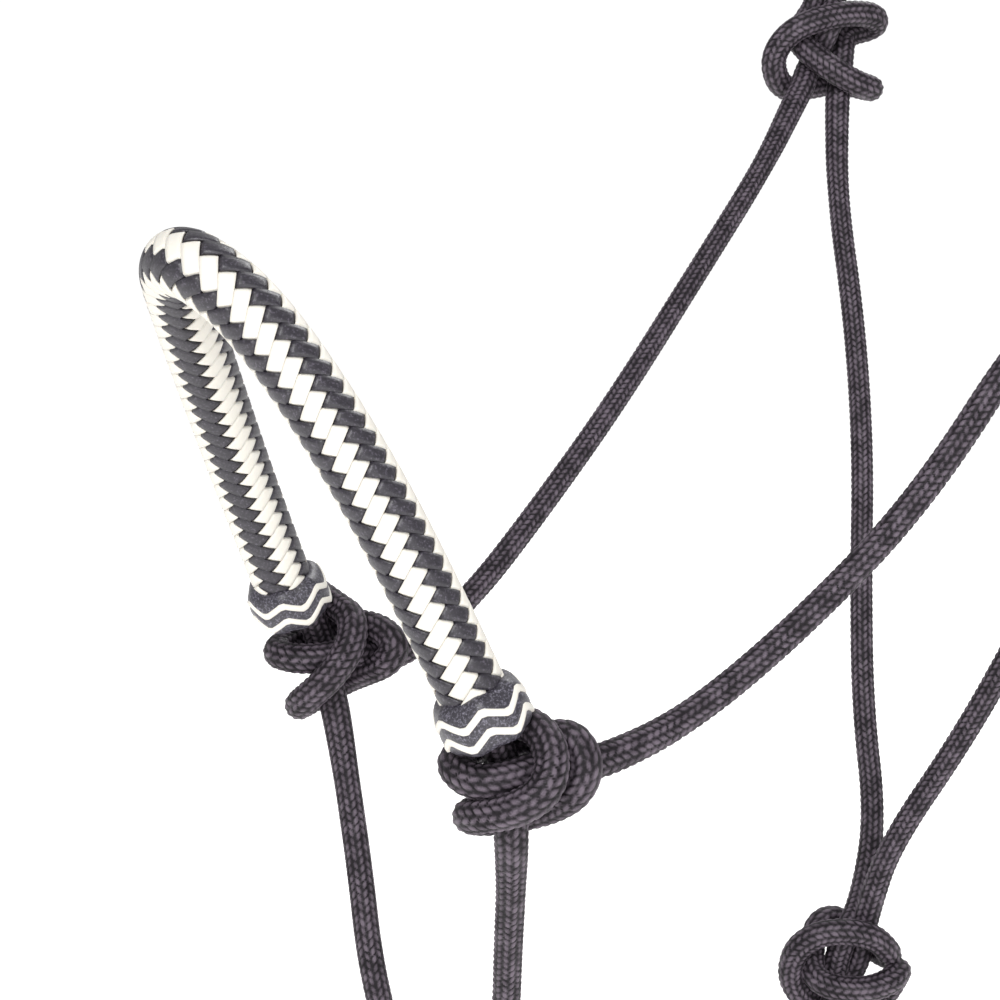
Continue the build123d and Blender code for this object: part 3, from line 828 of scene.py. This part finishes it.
# ---------------------------------------------------------------- studio
def make_studio():
    scene = bpy.context.scene
    scene.view_settings.view_transform = "Standard"
    floor_height = cad_box[0][2] - 0.03
    data = bpy.data.meshes.new("floor")
    size = 6.0
    data.from_pydata([(-size, -size, floor_height), (size, -size, floor_height), (size, size, floor_height),
                      (-size, size, floor_height)], [], [(0, 1, 2, 3)])
    floor = bpy.data.objects.new("floor", data)
    scene.collection.objects.link(floor)
    material, tree, shader = start_material("pale_floor_paint", 0.8)
    shader.inputs["Base Color"].default_value = linear("f4f3f1")
    shader.inputs["Emission Color"].default_value = linear("ffffff")
    shader.inputs["Emission Strength"].default_value = 0.6     # a sweep lit from within, so no horizon shows
    data.materials.append(material)
    world = bpy.data.worlds.new("studio")
    world.use_nodes = True
    tree = world.node_tree
    background = tree.nodes["Background"]
    background.inputs["Color"].default_value = linear("ffffff")
    # the lit sweep is white to look at, and as a light it is softer than the lamps
    seen = add(tree, "ShaderNodeLightPath").outputs["Is Camera Ray"]
    strength = add(tree, "ShaderNodeMapRange", links={"Value": seen, "To Min": 0.5, "To Max": 1.05})
    tree.links.new(strength.outputs[0], background.inputs["Strength"])
    scene.world = world
    for name, place, aim, size, power in (
        ("key", (-1.1, -0.9, 0.9), (-0.15, 0, -0.1), 0.5, 17),
        ("fill", (-0.2, -1.5, 0.1), (-0.15, 0, -0.1), 0.9, 6),
        ("rim", (0.9, 0.7, 0.9), (-0.15, 0, -0.1), 0.6, 8),
    ):
        light = bpy.data.lights.new(name, "AREA")
        light.size = size
        light.energy = power
        lamp = bpy.data.objects.new(name, light)
        lamp.location = place
        lamp.rotation_euler = (Vector(aim) - Vector(place)).to_track_quat("-Z", "Y").to_euler()
        scene.collection.objects.link(lamp)


make_camera()
# colours from gap to stitch to crown: painted shade in the gaps, painted highlight on the crowns; the
# noseband core's copy has a duller painted highlight
ROPE_FINISH = braided_polyester("braided_polyester_rope", "020202", "1c171d", "665c67", 0.03)
CORE_FINISH = braided_polyester("core_polyester_rope", "020202", "1a161b", "352f37", 0.03)
BLACK_LEATHER = waxed_leather("waxed_black_latigo", "121016", "2b2730", "77717f", 0.4, 0.12)
RING_LEATHER = waxed_leather("scuffed_black_latigo", "100e14", "2d2a33", "9a96a6", 0.38, 0.3)
NATURAL_LACE = natural_lace("natural_kangaroo_lace")
THREAD = waxed_thread("waxed_black_thread")

rope_runs = make_ropes(ROPE_FINISH)
make_tails(rope_runs, ROPE_FINISH, THREAD)
band_line, band_axes = make_plait(BLACK_LEATHER, NATURAL_LACE)
make_ring_knots(band_line, band_axes, RING_LEATHER, NATURAL_LACE)
dress_cores(CORE_FINISH)
make_studio()
